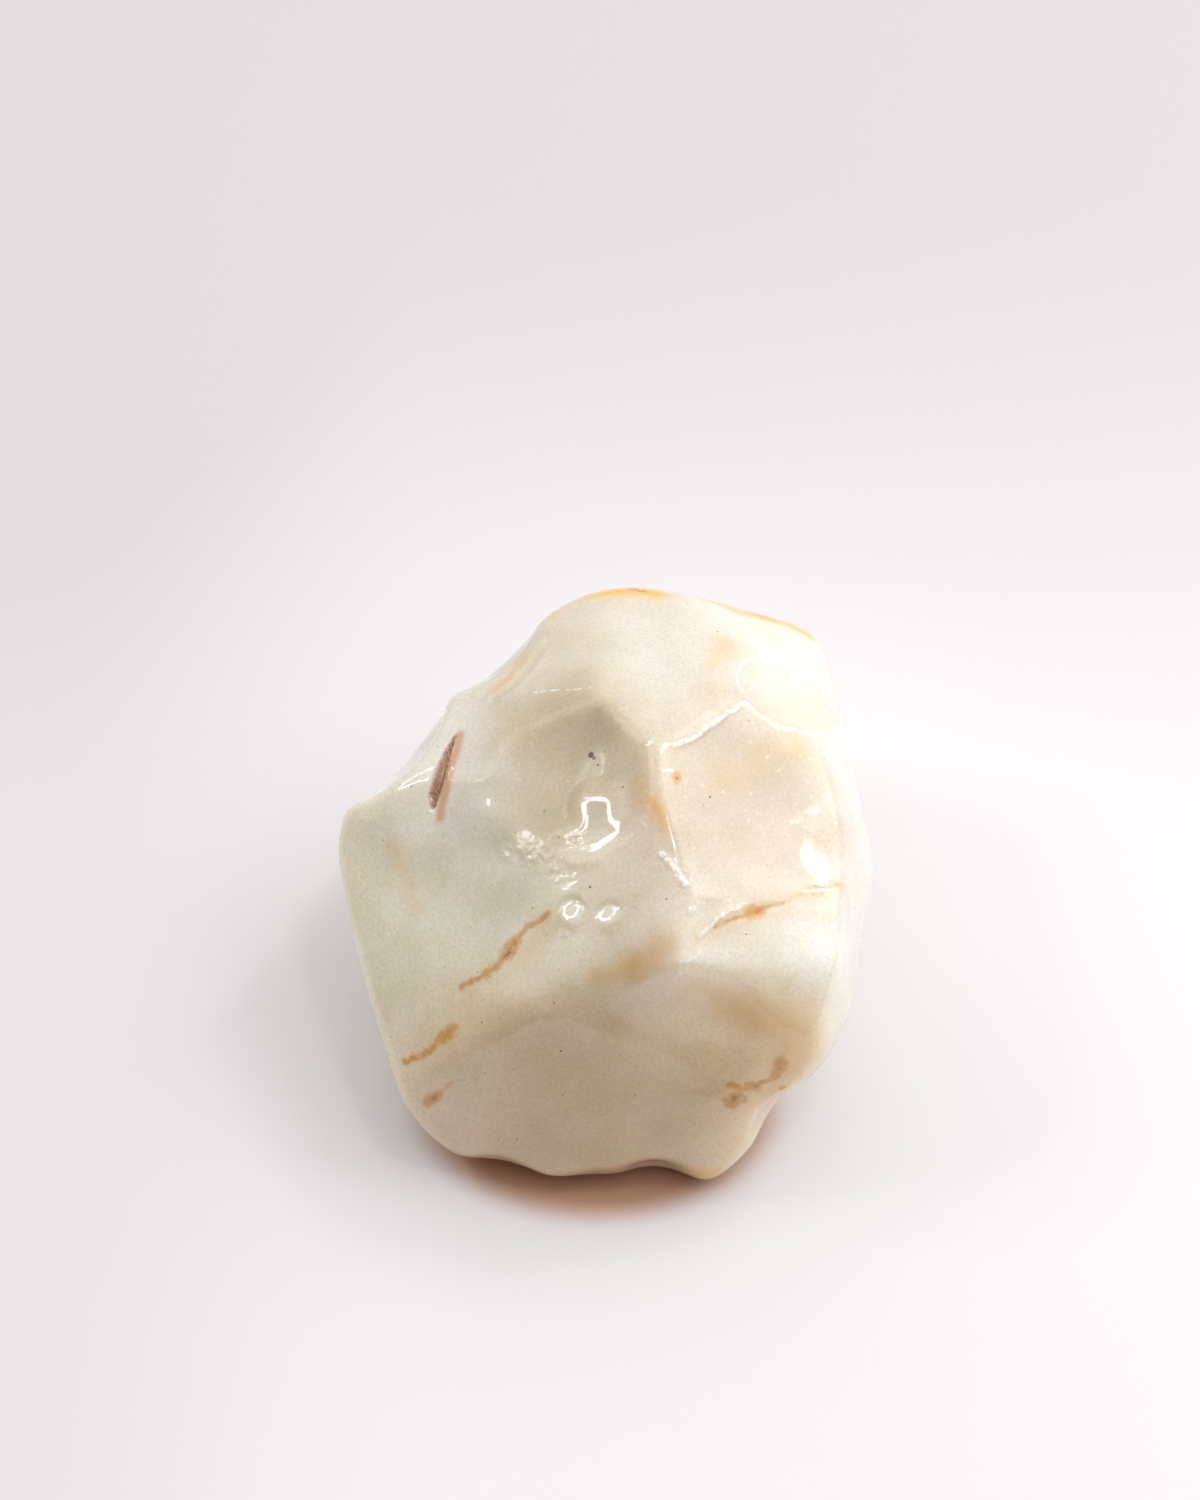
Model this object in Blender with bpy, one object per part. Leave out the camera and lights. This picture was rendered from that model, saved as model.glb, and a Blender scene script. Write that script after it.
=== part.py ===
"""A specimen of white common opal, broken with shell-like fractures and tumbled to a wet gloss.

It is one solid. Its form is the hull of the corners below, hollowed by the fracture scoops, with the
edges worn round. Sizes in the tables are millimetres: X to the right, Y to the back, Z up from the
surface that the stone rests on. The mesh is in metres.
"""

import math

import bmesh
import bpy
import numpy as np
from mathutils import Vector, noise

MM = 0.001

# The point inside the stone that its surface is measured from.
HEART = np.array([0.0, 0.0, 12.0])

CORNERS = {
    # The crest that parts the lit right side from the left side, from the back to the front.
    "crest_back_left": (-5.0, 8.5, 21.5),
    "crest_back": (-0.2, 6.5, 24.3),
    "crest_top": (3.5, 0.6, 25.2),
    "crest_middle": (3.5, -6.6, 22.6),
    "crest_front": (5.9, -8.9, 21.9),
    "front_peak": (5.0, -13.3, 19.5),
    "right_saddle": (9.2, 6.0, 23.2),
    # The lower rim of the big dish, from left to right.
    "dish_lip_1": (-13.1, 0.6, 15.5),
    "dish_lip_2": (-8.2, -1.3, 17.6),
    "dish_lip_3": (-2.8, -4.2, 20.2),
    # The back edge of the top, from left to right.
    "back_edge_1": (-6.4, 14.9, 19.3),
    "back_edge_2": (-3.5, 17.8, 19.3),
    "back_edge_3": (-0.8, 20.1, 19.5),
    "back_edge_4": (2.5, 19.7, 19.9),
    "back_edge_5": (6.9, 19.2, 19.3),
    "back_edge_6": (11.8, 18.3, 17.7),
    "back_edge_7": (15.5, 18.3, 16.5),
    # The shoulder over the right side, from the back to the front.
    "right_shoulder_1": (14.8, 12.5, 18.5),
    "right_shoulder_2": (16.0, 4.5, 19.0),
    "right_shoulder_3": (16.8, -0.8, 19.0),
    "right_shoulder_4": (17.0, -6.1, 18.5),
    "right_shoulder_5": (16.5, -11.2, 16.5),
    "right_shoulder_6": (15.3, -14.9, 12.6),
    # The widest line of the right side.
    "right_rim_1": (16.9, 13.2, 14.7),
    "right_rim_2": (18.1, 6.5, 13.5),
    "right_rim_3": (19.3, 0.3, 12.5),
    "right_rim_4": (18.6, -4.7, 11.0),
    "right_rim_5": (17.7, -10.6, 9.3),
    "right_rim_6": (15.8, -13.7, 8.0),
    "right_rim_7": (12.6, -15.4, 6.5),
    # The lower lip of the front face, from right to left.
    "lip_1": (9.2, -18.4, 1.5),
    "lip_2": (7.4, -20.0, 0.3),
    "lip_3": (2.0, -19.6, 2.6),
    "lip_4": (-3.9, -20.1, 2.3),
    "lip_5": (-7.1, -19.1, 2.5),
    "lip_6": (-11.0, -17.3, 1.3),
    # The left edge, from the lip up to its tip and on to the back edge.
    "left_edge_1": (-13.2, -17.4, 4.5),
    "left_edge_2": (-14.6, -16.6, 7.5),
    "left_edge_3": (-16.0, -12.0, 8.8),
    "left_edge_4": (-17.3, -6.7, 10.1),
    "left_edge_5": (-18.4, -1.9, 11.4),
    "left_tip": (-19.4, 1.1, 12.6),
    "left_edge_6": (-18.6, 4.1, 14.2),
    "left_edge_7": (-15.2, 3.9, 17.0),
    "left_edge_8": (-12.7, 7.2, 18.0),
    "left_edge_9": (-10.5, 10.9, 18.8),
    # The ridge between the left side and the front face.
    "front_ridge_low": (-11.4, -15.3, 11.1),
    "front_ridge_left": (-8.9, -13.1, 13.6),
    "front_ridge_middle": (-3.2, -12.9, 16.8),
    # The blunt corner where the front face turns to the right side.
    "front_corner_high": (9.4, -17.1, 9.3),
    "front_corner_low": (7.2, -18.8, 5.4),
    # The back and the underside, which slope in to the foot.
    "back_1": (-15.5, 9.0, 10.0),
    "back_2": (-8.5, 16.5, 11.0),
    "back_3": (1.0, 20.3, 12.5),
    "back_4": (10.5, 19.3, 10.5),
    "back_5": (16.0, 13.0, 9.0),
    "under_1": (-13.5, 4.0, 5.5),
    "under_2": (-3.5, 14.5, 4.5),
    "under_3": (8.0, 15.0, 4.0),
    "under_4": (14.0, 6.0, 4.5),
    "under_5": (14.5, -5.0, 4.5),
    "under_6": (-15.0, -5.0, 6.0),
    # The flat foot, cut off at Z 0.
    "foot_1": (-5.5, -9.0, -0.3),
    "foot_2": (4.0, -11.0, -0.3),
    "foot_3": (8.0, -5.5, -0.3),
    "foot_4": (7.5, 2.5, -0.3),
    "foot_5": (2.0, 6.5, -0.3),
    "foot_6": (-4.0, 4.5, -0.3),
    "foot_7": (-6.5, -2.0, -0.3),
}

# Each scoop is the hollow that a ball leaves: a point of the surface that the ball bites into, the
# compass turn and the rise of the way that the hollow faces, the ball's radius, its bite's depth, and
# how deep the rounding of its rim is.
FRACTURES = {
    "big_dish": ((-1.0, 1.6, 23.1), (211.0, 58.0), 18.0, 0.95, 0.8),
    "right_dish": ((10.0, -1.6, 21.7), (353.0, 62.0), 32.0, 0.8, 0.5),
    "right_chip": ((12.0, 10.5, 20.6), (28.0, 60.0), 12.0, 0.8, 0.15),
    "front_hollow": ((5.9, -14.6, 15.6), (277.0, 19.0), 22.0, 0.5, 0.5),
    "left_hollow": ((-14.5, 6.4, 15.0), (133.0, 27.0), 7.0, 0.95, 0.1),
    "left_flute": ((-8.0, 13.4, 17.5), (133.0, 27.0), 6.0, 1.0, 0.1),
    "lip_chip": ((3.7, -19.6, 2.0), (272.0, -20.0), 4.0, 1.35, 0.1),
    "lip_chip_left": ((-8.0, -18.9, 2.1), (262.0, -20.0), 7.0, 0.9, 0.1),
    "lip_chip_middle": ((-0.4, -19.8, 2.2), (270.0, -20.0), 6.0, 0.6, 0.1),
    "crack_ledge": ((12.3, -16.3, 5.4), (310.0, 0.0), 3.5, 1.2, 0.1),
    "back_dish": ((-3.0, 19.0, 12.5), (98.0, 5.0), 16.0, 1.0, 0.3),
    "back_chip": ((14.5, 15.5, 10.5), (45.0, -15.0), 11.0, 0.9, 0.1),
    "under_left": ((-14.5, -3.0, 6.0), (190.0, -40.0), 18.0, 0.7, 0.2),
}

# The pit in the upper left side: a groove between two points of the surface.
PIT_TOP = np.array([-10.6, 5.8, 19.4])
PIT_BOTTOM = np.array([-11.9, 1.4, 18.0])
PIT_HALF_WIDTH = 0.8
PIT_DEPTH = 0.7

SPHERE_SUBDIVISIONS = 7

# How far, as a share of the distance from the heart, the edges of the facets and scoops wander.
WANDER = 0.018
WANDERS_PER_RADIUS = 3.5
WANDER_SEED = 1795843873

WEAR_PASSES = 10
WEAR_STRENGTH = 0.5

LUMP_WAVELENGTH = 7.0
LUMP_HEIGHT = 0.25
LUMP_SEED = Vector((3.1, 7.7, 1.9))
FOOT_CLEAR = 2.0

TRIANGLES = 9000

# A face of the hull this nearly edge-on to a direction is never what the direction meets.
EDGE_ON = 1e-6


def unit(turn, rise):
    """The direction at a compass turn from +X towards +Y and a rise above the horizon, in degrees."""
    turn, rise = math.radians(turn), math.radians(rise)
    level = math.cos(rise)
    return np.array([level * math.cos(turn), level * math.sin(turn), math.sin(rise)])


def wandered(directions):
    """The directions nudged about, so that an edge found along them isn't straight."""
    nudges = np.array([noise.noise_vector(Vector(d) * WANDERS_PER_RADIUS) for d in directions.tolist()])
    bent = directions + nudges * WANDER
    return bent / np.linalg.norm(bent, axis=1)[:, None]


def hull_planes():
    """The hull's faces, as outward normals and their distances from the heart."""
    bm = bmesh.new()
    for corner in CORNERS.values():
        bm.verts.new(corner)
    made = bmesh.ops.convex_hull(bm, input=bm.verts, use_existing_faces=False)
    inside = [g for g in made["geom_interior"] if isinstance(g, bmesh.types.BMVert)]
    bmesh.ops.delete(bm, geom=inside, context="VERTS")
    bm.normal_update()
    normals = np.array([f.normal for f in bm.faces])
    points = np.array([f.verts[0].co for f in bm.faces])
    bm.free()
    distances = ((points - HEART) * normals).sum(axis=1)
    outward = np.sign(distances)
    return normals * outward[:, None], distances * outward


def hull_radii(directions):
    """How far the hull reaches from the heart along each direction."""
    normals, distances = hull_planes()
    facing = directions @ normals.T
    reach = np.where(facing > EDGE_ON, distances / np.maximum(facing, EDGE_ON), np.inf)
    return reach.min(axis=1)


def scooped(directions, radii):
    """The radii cut back to where each fracture's ball begins, with the rim of each hollow rounded."""
    for centre, facing, ball, depth, rounding in FRACTURES.values():
        middle = np.array(centre) + unit(*facing) * (ball - depth) - HEART
        along = directions @ middle
        inside = along**2 - middle @ middle + ball**2
        near = along - np.sqrt(np.maximum(inside, 0.0))
        hit = (inside > 0) & (along > 0)
        near = np.where(hit, near, radii + rounding)
        share = np.clip(0.5 + (near - radii) / (2.0 * rounding), 0.0, 1.0)
        radii = near + (radii - near) * share - rounding * share * (1.0 - share)
    return radii


def worn(points, edges):
    """The points after each has moved towards the mean of its neighbours, which rounds the edges."""
    count = np.bincount(edges.ravel(), minlength=len(points))[:, None]
    for _ in range(WEAR_PASSES):
        total = np.zeros_like(points)
        np.add.at(total, edges[:, 0], points[edges[:, 1]])
        np.add.at(total, edges[:, 1], points[edges[:, 0]])
        points = points + (total / count - points) * WEAR_STRENGTH
    return points


def lumpy(points, directions):
    """The points with the broad low lumps of a tumbled stone, which fade out towards the foot."""
    heights = [
        noise.noise(Vector(p) / LUMP_WAVELENGTH + LUMP_SEED) for p in points.tolist()
    ]
    fade = np.clip(points[:, 2] / FOOT_CLEAR, 0.0, 1.0)
    return points + directions * (np.array(heights) * LUMP_HEIGHT * fade)[:, None]


def pitted(points, directions):
    """The points with the pit pressed in, deepest along its middle line."""
    line = PIT_BOTTOM - PIT_TOP
    along = np.clip((points - PIT_TOP) @ line / (line @ line), 0.0, 1.0)
    away = np.linalg.norm(points - PIT_TOP - along[:, None] * line, axis=1)
    bite = PIT_DEPTH * np.clip(1.0 - (away / PIT_HALF_WIDTH) ** 2, 0.0, 1.0)
    return points - directions * bite[:, None]


def centred(points):
    """The points with the foot flat at Z 0 and the middle of their box over the origin."""
    points = points.copy()
    points[:, 2] = np.maximum(points[:, 2], 0.0)
    points[:, :2] -= (points[:, :2].min(axis=0) + points[:, :2].max(axis=0)) / 2
    return points


def opal_material():
    """Milky opal under a wet gloss."""
    material = bpy.data.materials.new("opal")
    material.use_nodes = True
    shader = material.node_tree.nodes["Principled BSDF"]
    shader.inputs["Base Color"].default_value = (0.80, 0.74, 0.62, 1.0)
    shader.inputs["Roughness"].default_value = 0.12
    shader.inputs["Metallic"].default_value = 0.0
    return material


def build_opal():
    """The stone, as one closed mesh thinned to the triangle budget."""
    noise.seed_set(WANDER_SEED)
    bm = bmesh.new()
    bmesh.ops.create_icosphere(bm, subdivisions=SPHERE_SUBDIVISIONS, radius=1.0)
    directions = np.array([v.co for v in bm.verts])
    directions /= np.linalg.norm(directions, axis=1)[:, None]
    edges = np.array([[v.index for v in e.verts] for e in bm.edges])

    bent = wandered(directions)
    radii = scooped(bent, hull_radii(bent))
    points = worn(HEART + directions * radii[:, None], edges)
    points = pitted(lumpy(points, directions), directions)
    points = centred(points)
    for vertex, point in zip(bm.verts, points * MM):
        vertex.co = point

    mesh = bpy.data.meshes.new("opal")
    bm.to_mesh(mesh)
    faces = len(bm.faces)
    bm.free()
    mesh.shade_smooth()
    mesh.materials.append(opal_material())
    opal = bpy.data.objects.new("opal", mesh)
    bpy.context.scene.collection.objects.link(opal)
    thin = opal.modifiers.new("thin", "DECIMATE")
    thin.ratio = TRIANGLES / faces
    thin.use_collapse_triangulate = True
    return opal


def main():
    for obj in list(bpy.data.objects):
        bpy.data.objects.remove(obj)
    build_opal()


main()
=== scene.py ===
"""The looks of the opal specimen: the stone, its floor, the light and the photograph's camera.

The stone is built again on a finer mesh from the named values of its solid, and then gets its ridges,
ripples, veins and stains. Sizes in the tables are millimetres: X to the right, Y to the back, Z up from
the floor. Places on the stone are given as pixels of the 1200 by 1500 photograph, and a line of sight
from the camera finds the point of the stone that each one shows.
"""

import math

import bmesh
import bpy
import numpy as np
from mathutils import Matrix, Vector, noise
from mathutils.bvhtree import BVHTree


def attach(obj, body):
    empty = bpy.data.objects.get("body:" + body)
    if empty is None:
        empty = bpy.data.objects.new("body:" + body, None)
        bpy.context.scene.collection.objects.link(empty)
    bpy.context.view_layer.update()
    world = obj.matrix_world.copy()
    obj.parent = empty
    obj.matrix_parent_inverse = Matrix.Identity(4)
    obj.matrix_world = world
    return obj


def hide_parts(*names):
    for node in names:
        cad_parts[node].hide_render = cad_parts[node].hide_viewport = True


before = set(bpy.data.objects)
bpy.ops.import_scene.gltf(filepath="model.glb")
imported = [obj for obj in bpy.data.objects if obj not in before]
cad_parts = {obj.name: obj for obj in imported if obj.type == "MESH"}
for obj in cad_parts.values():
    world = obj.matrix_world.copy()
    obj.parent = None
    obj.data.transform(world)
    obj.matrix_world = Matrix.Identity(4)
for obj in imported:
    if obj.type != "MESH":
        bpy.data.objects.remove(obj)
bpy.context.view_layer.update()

MM = 0.001

# The photograph's frame and its camera.
PHOTO_WIDTH = 1200
PHOTO_HEIGHT = 1500
FOCAL_PIXELS = 8500.0
SENSOR_MM = 36.0
CAMERA_PLACE = np.array([-0.36, -339.6, 511.5])
CAMERA_RISE = 55.0

# The point inside the stone that its surface is measured from.
HEART = np.array([0.0, 0.0, 12.0])

CORNERS = {
    # The crest that parts the lit right side from the left side, from the back to the front.
    "crest_back_left": (-5.0, 8.5, 21.5),
    "crest_back": (-0.2, 6.5, 24.3),
    "crest_top": (3.5, 0.6, 25.2),
    "crest_middle": (3.5, -6.6, 22.6),
    "crest_front": (5.9, -8.9, 21.9),
    "front_peak": (5.0, -13.3, 19.5),
    "right_saddle": (9.2, 6.0, 23.2),
    # The lower rim of the big dish, from left to right.
    "dish_lip_1": (-13.1, 0.6, 15.5),
    "dish_lip_2": (-8.2, -1.3, 17.6),
    "dish_lip_3": (-2.8, -4.2, 20.2),
    # The back edge of the top, from left to right.
    "back_edge_1": (-6.4, 14.9, 19.3),
    "back_edge_2": (-3.5, 17.8, 19.3),
    "back_edge_3": (-0.8, 20.1, 19.5),
    "back_edge_4": (2.5, 19.7, 19.9),
    "back_edge_5": (6.9, 19.2, 19.3),
    "back_edge_6": (11.8, 18.3, 17.7),
    "back_edge_7": (15.5, 18.3, 16.5),
    # The shoulder over the right side, from the back to the front.
    "right_shoulder_1": (14.8, 12.5, 18.5),
    "right_shoulder_2": (16.0, 4.5, 19.0),
    "right_shoulder_3": (16.8, -0.8, 19.0),
    "right_shoulder_4": (17.0, -6.1, 18.5),
    "right_shoulder_5": (16.5, -11.2, 16.5),
    "right_shoulder_6": (15.3, -14.9, 12.6),
    # The widest line of the right side.
    "right_rim_1": (16.9, 13.2, 14.7),
    "right_rim_2": (18.1, 6.5, 13.5),
    "right_rim_3": (19.3, 0.3, 12.5),
    "right_rim_4": (18.6, -4.7, 11.0),
    "right_rim_5": (17.7, -10.6, 9.3),
    "right_rim_6": (15.8, -13.7, 8.0),
    "right_rim_7": (12.6, -15.4, 6.5),
    # The lower lip of the front face, from right to left.
    "lip_1": (9.2, -18.4, 1.5),
    "lip_2": (7.4, -20.0, 0.3),
    "lip_3": (2.0, -19.6, 2.6),
    "lip_4": (-3.9, -20.1, 2.3),
    "lip_5": (-7.1, -19.1, 2.5),
    "lip_6": (-11.0, -17.3, 1.3),
    # The left edge, from the lip up to its tip and on to the back edge.
    "left_edge_1": (-13.2, -17.4, 4.5),
    "left_edge_2": (-14.6, -16.6, 7.5),
    "left_edge_3": (-16.0, -12.0, 8.8),
    "left_edge_4": (-17.3, -6.7, 10.1),
    "left_edge_5": (-18.4, -1.9, 11.4),
    "left_tip": (-19.4, 1.1, 12.6),
    "left_edge_6": (-18.6, 4.1, 14.2),
    "left_edge_7": (-15.2, 3.9, 17.0),
    "left_edge_8": (-12.7, 7.2, 18.0),
    "left_edge_9": (-10.5, 10.9, 18.8),
    # The ridge between the left side and the front face.
    "front_ridge_low": (-11.4, -15.3, 11.1),
    "front_ridge_left": (-8.9, -13.1, 13.6),
    "front_ridge_middle": (-3.2, -12.9, 16.8),
    # The blunt corner where the front face turns to the right side.
    "front_corner_high": (9.4, -17.1, 9.3),
    "front_corner_low": (7.2, -18.8, 5.4),
    # The back and the underside, which slope in to the foot.
    "back_1": (-15.5, 9.0, 10.0),
    "back_2": (-8.5, 16.5, 11.0),
    "back_3": (1.0, 20.3, 12.5),
    "back_4": (10.5, 19.3, 10.5),
    "back_5": (16.0, 13.0, 9.0),
    "under_1": (-13.5, 4.0, 5.5),
    "under_2": (-3.5, 14.5, 4.5),
    "under_3": (8.0, 15.0, 4.0),
    "under_4": (14.0, 6.0, 4.5),
    "under_5": (14.5, -5.0, 4.5),
    "under_6": (-15.0, -5.0, 6.0),
    # The flat foot, cut off at Z 0.
    "foot_1": (-5.5, -9.0, -0.3),
    "foot_2": (4.0, -11.0, -0.3),
    "foot_3": (8.0, -5.5, -0.3),
    "foot_4": (7.5, 2.5, -0.3),
    "foot_5": (2.0, 6.5, -0.3),
    "foot_6": (-4.0, 4.5, -0.3),
    "foot_7": (-6.5, -2.0, -0.3),
}

# Each scoop is the hollow that a ball leaves: a point of the surface that the ball bites into, the
# compass turn and the rise of the way that the hollow faces, the ball's radius, its bite's depth, and
# how deep the rounding of its rim is.
FRACTURES = {
    "big_dish": ((-1.0, 1.6, 23.1), (211.0, 58.0), 18.0, 0.95, 0.8),
    "right_dish": ((10.0, -1.6, 21.7), (353.0, 62.0), 32.0, 0.8, 0.5),
    "right_chip": ((12.0, 10.5, 20.6), (28.0, 60.0), 12.0, 0.8, 0.15),
    "front_hollow": ((5.9, -14.6, 15.6), (277.0, 19.0), 22.0, 0.5, 0.5),
    "left_hollow": ((-14.5, 6.4, 15.0), (133.0, 27.0), 7.0, 0.95, 0.1),
    "left_flute": ((-8.0, 13.4, 17.5), (133.0, 27.0), 6.0, 1.0, 0.1),
    "lip_chip": ((3.7, -19.6, 2.0), (272.0, -20.0), 4.0, 1.35, 0.1),
    "lip_chip_left": ((-8.0, -18.9, 2.1), (262.0, -20.0), 7.0, 0.9, 0.1),
    "lip_chip_middle": ((-0.4, -19.8, 2.2), (270.0, -20.0), 6.0, 0.6, 0.1),
    "crack_ledge": ((12.3, -16.3, 5.4), (310.0, 0.0), 3.5, 1.2, 0.1),
    "back_dish": ((-3.0, 19.0, 12.5), (98.0, 5.0), 16.0, 1.0, 0.3),
    "back_chip": ((14.5, 15.5, 10.5), (45.0, -15.0), 11.0, 0.9, 0.1),
    "under_left": ((-14.5, -3.0, 6.0), (190.0, -40.0), 18.0, 0.7, 0.2),
}

# The finer sphere that the stone is shaped from, with its points gathered towards the camera.
SPHERE_SUBDIVISIONS = 6
SPHERE_CUTS = 2
GATHER = 0.35

# How far, as a share of the distance from the heart, the edges of the facets and scoops wander.
WANDER = 0.018
WANDERS_PER_RADIUS = 3.5
WANDER_SEED = 1795843873

WEAR_PASSES = 26
WEAR_STRENGTH = 0.5

LUMP_WAVELENGTH = 7.0
LUMP_HEIGHT = 0.25
LUMP_SEED = Vector((3.1, 7.7, 1.9))
RIPPLE_WAVELENGTH = 1.7
RIPPLE_HEIGHT = 0.012
RIPPLE_SEED = Vector((8.3, 2.2, 5.4))
FOOT_CLEAR = 2.0
CHIP_WAVELENGTH = 0.6
CHIP_HEIGHT = 0.035
CHIP_SEED = Vector((4.4, 1.6, 9.1))

# The pit in the upper left side: a groove with a pointed top, as its half width at each pixel.
PIT_LINE = [(455, 735), (449, 748), (443, 765), (438, 783), (434, 796), (433, 806)]
PIT_HALF_WIDTHS = [0.12, 0.32, 0.48, 0.55, 0.50, 0.25]
PIT_DEPTH = 0.28

# The pit's pink right bank, and the stain below it.
PIT_BANK = [(460, 735), (457, 749), (451, 766), (446, 790), (441, 808), (440, 818)]
PIT_BANK_HALF_WIDTH = 0.42

# Thin ridges, as a height and a half width, and the pixels that they run through.
RIDGES = {
    "dish_rim": (0.03, 0.20, [(535, 692), (560, 690), (590, 689)]),
    "dish_corner": (0.08, 0.22, [(601, 694), (605, 701), (600, 706)]),
    "top_ridge": (0.12, 0.24, [(648, 745), (676, 745), (694, 738), (732, 709), (745, 703)]),
    "top_ridge_right": (0.11, 0.24, [(745, 703), (759, 716), (778, 728), (808, 732), (822, 735)]),
    "chip_ridge": (0.07, 0.26, [(744, 694), (736, 676), (745, 661), (768, 655), (790, 662)]),
    "chip_ridge_low": (0.06, 0.30, [(759, 682), (775, 676), (793, 692)]),
    "chip_edge": (0.06, 0.40, [(720, 700), (715, 678), (722, 655), (738, 636), (752, 622)]),
    "rib_1": (0.10, 0.32, [(476, 696), (500, 677), (520, 655), (534, 634)]),
    "rib_2": (0.10, 0.30, [(487, 700), (508, 684), (527, 664), (541, 640)]),
    "rib_3": (0.08, 0.30, [(500, 702), (519, 688), (534, 672), (546, 652)]),
    "cluster": (0.11, 0.22, [(662, 854), (668, 860), (675, 867), (680, 876), (682, 884)]),
    "cluster_hook": (0.10, 0.20, [(682, 884), (688, 885), (692, 878), (690, 870)]),
    "crack_edge": (0.08, 0.20, [(700, 936), (708, 929), (717, 919), (729, 910), (745, 905)]),
    "crack_blob": (0.08, 0.28, [(714, 920), (719, 916)]),
    "crack_edge_right": (0.07, 0.20, [(806, 892), (818, 890), (831, 890)]),
    "spot_high": (0.07, 0.22, [(709, 899), (714, 898)]),
    "spot_low": (0.07, 0.22, [(690, 912), (694, 910)]),
    "peak_edge": (0.07, 0.20, [(679, 962), (693, 959), (699, 952)]),
    "front_crease": (0.16, 1.30, [(540, 1012), (565, 1018), (600, 1033), (646, 1050), (700, 1066)]),
}

# Thin grooves, in the same terms.
GROOVES = {
    "orange_crack": (0.04, 0.20, [(715, 931), (739, 918), (757, 914), (782, 903), (813, 888), (841, 887)]),
    "corner_crack": (0.10, 0.20, [(771, 1087), (785, 1086), (800, 1088)]),
}

# How far the ridges, grooves and veins stray from their lines, and over what length.
STRAY = 0.16
STRAY_WAVELENGTH = 1.3

# Small bowls and domes that mirror the ring lamp along an outline: 1 for a dome or -1 for a bowl, how
# far its middle is from the outline, how far it is lifted, how far it reaches beyond the outline, all
# in millimetres, and the outline's pixels.
SWELLS = {
    "bell": (-1.0, 0.95, 0.12, 1.7, [
        (587, 802), (597, 802), (608, 802), (608, 812), (609, 822), (616, 829), (615, 831),
        (604, 837), (593, 846), (583, 845), (570, 841), (571, 838), (585, 831), (589, 820), (587, 811),
    ]),
    "ring_left": (1.0, 0.5, 0.03, 0.6, [
        (566, 906), (573, 904), (578, 909), (577, 917), (570, 920), (564, 915),
    ]),
    "ring_right": (1.0, 0.5, 0.03, 0.6, [
        (604, 911), (612, 909), (615, 914), (612, 920), (605, 922), (600, 917),
    ]),
}

# How a swelling leans from the line of sight to the image's right and up, in degrees, and how steep it
# is along its outline, so that it mirrors the ring lamp's middle and its rim.
SWELL_LEAN = (-27.2, 22.0)
SWELL_SLOPE = 0.061

# How far outside its outline a swelling stays as it is, and stays glossy.
SWELL_MARGIN = 0.25
GLOSS_MARGIN = 0.35
GLOSS_FADE = 0.25

# Veins: how orange each is, from brown at 0 to orange at 1, its half width, its strength, and its pixels.
VEINS = {
    "upper_left": (0.45, 0.13, 0.85, [(549, 913), (538, 922), (527, 926), (521, 934), (518, 942)]),
    "upper_left_blob": (0.40, 0.27, 1.0, [(515, 943), (510, 949), (506, 956)]),
    "upper_left_low": (0.50, 0.14, 0.85, [(504, 959), (493, 969), (483, 976), (473, 981), (462, 988)]),
    "upper_left_bulge": (0.55, 0.28, 0.8, [(495, 968), (487, 973)]),
    "left": (0.65, 0.15, 0.8, [(448, 1033), (442, 1037), (435, 1047), (423, 1055), (414, 1059), (405, 1061)]),
    "left_blob": (0.60, 0.28, 1.0, [(451, 1030), (448, 1035), (444, 1037)]),
    "low_left": (0.55, 0.14, 0.6, [(452, 1084), (443, 1089), (435, 1095)]),
    "low_left_blob": (0.55, 0.24, 1.0, [(436, 1095), (431, 1099), (428, 1102)]),
    "low_left_tail": (0.45, 0.10, 0.45, [(428, 1101), (420, 1100), (412, 1095), (407, 1089)]),
    "corner": (0.70, 0.15, 0.9, [(781, 1060), (778, 1072), (770, 1080), (755, 1085), (743, 1089), (729, 1085)]),
    "corner_top": (0.55, 0.14, 0.5, [(788, 1042), (784, 1052), (781, 1060)]),
    "corner_knot": (0.65, 0.26, 1.0, [(780, 1062), (776, 1073)]),
    "corner_low": (0.60, 0.24, 0.9, [(757, 1086), (750, 1087)]),
    "corner_blob": (0.45, 0.32, 1.0, [(735, 1098), (732, 1102)]),
    "corner_blob_right": (0.20, 0.22, 0.7, [(742, 1097), (744, 1099)]),
    "corner_tail": (0.20, 0.16, 0.5, [(728, 1104), (721, 1109)]),
    "corner_spot": (0.30, 0.18, 0.7, [(781, 1088), (784, 1089)]),
    "crack": (0.95, 0.12, 0.6, [(715, 928), (739, 917), (763, 910), (782, 902), (800, 894)]),
    "crack_core": (1.0, 0.24, 1.0, [(748, 914), (754, 912), (761, 911)]),
    "crack_right": (0.90, 0.16, 0.55, [(798, 894), (813, 887), (828, 884), (841, 885)]),
    "crack_under": (0.95, 0.14, 0.55, [(806, 893), (815, 895), (822, 893)]),
    "rust_speck": (0.80, 0.20, 0.9, [(676, 779), (678, 776)]),
}

# Dark specks, as a half width and a pixel.
SPECKS = {
    "dish": (0.20, (591, 755)),
    "dish_side": (0.13, (594, 758)),
    "dish_tail": (0.09, (598, 765)),
    "rust": (0.10, (677, 778)),
    "right": (0.10, (710, 797)),
    "middle": (0.09, (590, 887)),
    "middle_right": (0.08, (666, 899)),
    "upper_left": (0.08, (485, 698)),
    "left": (0.09, (411, 786)),
    "low_left": (0.09, (397, 1069)),
    "edge_left": (0.08, (361, 904)),
    "front_left": (0.08, (494, 1087)),
    "front": (0.09, (561, 1051)),
    "front_right": (0.08, (702, 1017)),
    "low_front": (0.08, (463, 1116)),
    "centre_right": (0.08, (746, 934)),
    "crack": (0.07, (754, 893)),
    "dish_low": (0.08, (623, 787)),
}

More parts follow.
